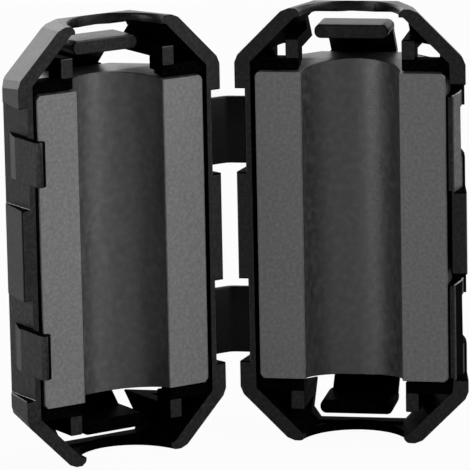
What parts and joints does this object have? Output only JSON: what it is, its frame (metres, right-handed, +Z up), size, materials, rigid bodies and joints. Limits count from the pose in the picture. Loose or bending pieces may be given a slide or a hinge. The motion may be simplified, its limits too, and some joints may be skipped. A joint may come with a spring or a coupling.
{
  "type": "clip-on ferrite bead",
  "caption": "Hinged clip-on ferrite clamp that closes round a cable to suppress high-frequency interference, standing open on one end.",
  "frame": {"origin": "centre of the catch half's cable channel, on the channel's axis, in that half's mating face, half-way along the cable", "axes": "+Z up along the cable channel, +X from the hinge to the latch of the catch half, +Y into the catch half away from its mating face"},
  "size_m": [0.0315, 0.0208, 0.0316],
  "materials": {
    "shell": "black moulded nylon, fine matte grain with a soft sheen on edges",
    "ferrite": "fired nickel-zinc ferrite, dull dark grey, mating face ground flat"
  },
  "bodies": {
    "catch_half": {"catch_shell": "shell", "catch_core": "ferrite", "upper_strap": "shell", "lower_strap": "shell"},
    "hook_half": {"hook_shell": "shell", "hook_core": "ferrite"}
  },
  "joints": [
    {"name": "shell_hinge", "type": "hinge", "parent": "catch_half", "child": "hook_half", "pos_m": [-0.00885, -0.00003, 0], "axis": [0, 0, 1], "range_deg": [-42.8, 137.2], "deforming": ["upper_strap", "lower_strap"]}
  ]
}
